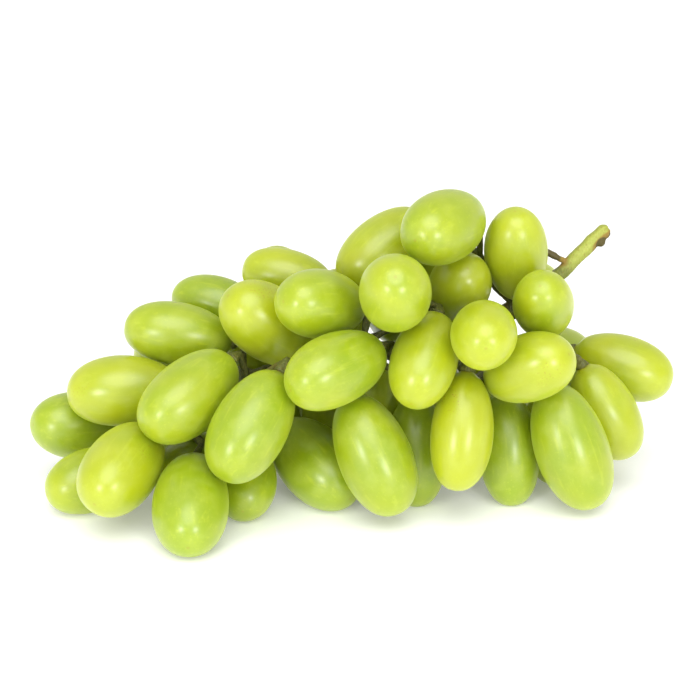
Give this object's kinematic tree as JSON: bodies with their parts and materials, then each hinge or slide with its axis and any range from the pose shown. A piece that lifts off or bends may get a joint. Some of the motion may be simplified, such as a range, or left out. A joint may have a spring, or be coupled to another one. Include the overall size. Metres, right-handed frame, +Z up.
{
  "type": "bunch of grapes",
  "caption": "Bunch of pale green oval table grapes on a branched woody-green stem, lying on its side and tapering from crowded shoulders to a low tip.",
  "frame": {"origin": "middle of the bounding box's footprint, on the surface that the bunch lies on", "axes": "+Z up; +X along the bunch, from its low tip to the cut end of its stem; -Y towards the side whose berries reach furthest out"},
  "size_m": [0.1554, 0.0998, 0.0757],
  "materials": {
    "grape_skin": "thin translucent yellow-green fruit skin, softly glossy",
    "stem": "green, slightly ridged plant stem, browned at its cut end"
  },
  "bodies": {
    "root": {"berry_back_1": "grape_skin", "berry_back_10": "grape_skin", "berry_back_11": "grape_skin", "berry_back_12": "grape_skin", "berry_back_13": "grape_skin", "berry_back_14": "grape_skin", "berry_back_15": "grape_skin", "berry_back_16": "grape_skin", "berry_back_17": "grape_skin", "berry_back_18": "grape_skin", "berry_back_2": "grape_skin", "berry_back_3": "grape_skin", "berry_back_4": "grape_skin", "berry_back_5": "grape_skin", "berry_back_6": "grape_skin", "berry_back_7": "grape_skin", "berry_back_8": "grape_skin", "berry_back_9": "grape_skin", "berry_crown_1": "grape_skin", "berry_crown_2": "grape_skin", "berry_crown_3": "grape_skin", "berry_crown_4": "grape_skin", "berry_crown_5": "grape_skin", "berry_front_1": "grape_skin", "berry_front_2": "grape_skin", "berry_front_3": "grape_skin", "berry_front_4": "grape_skin", "berry_front_5": "grape_skin", "berry_front_6": "grape_skin", "berry_front_7": "grape_skin", "berry_left_1": "grape_skin", "berry_left_2": "grape_skin", "berry_left_3": "grape_skin", "berry_left_4": "grape_skin", "berry_left_5": "grape_skin", "berry_ridge_1": "grape_skin", "berry_ridge_2": "grape_skin", "berry_ridge_3": "grape_skin", "berry_right_1": "grape_skin", "berry_right_2": "grape_skin", "berry_right_3": "grape_skin", "berry_right_4": "grape_skin", "berry_right_5": "grape_skin", "berry_right_6": "grape_skin", "berry_right_7": "grape_skin", "berry_right_8": "grape_skin", "berry_tip_1": "grape_skin", "berry_tip_2": "grape_skin", "berry_tip_3": "grape_skin", "berry_tip_4": "grape_skin", "berry_tip_5": "grape_skin", "berry_tip_6": "grape_skin", "berry_tip_7": "grape_skin", "berry_under_1": "grape_skin", "berry_under_2": "grape_skin", "berry_under_3": "grape_skin", "berry_under_4": "grape_skin", "stem": "stem"}
  },
  "joints": []
}
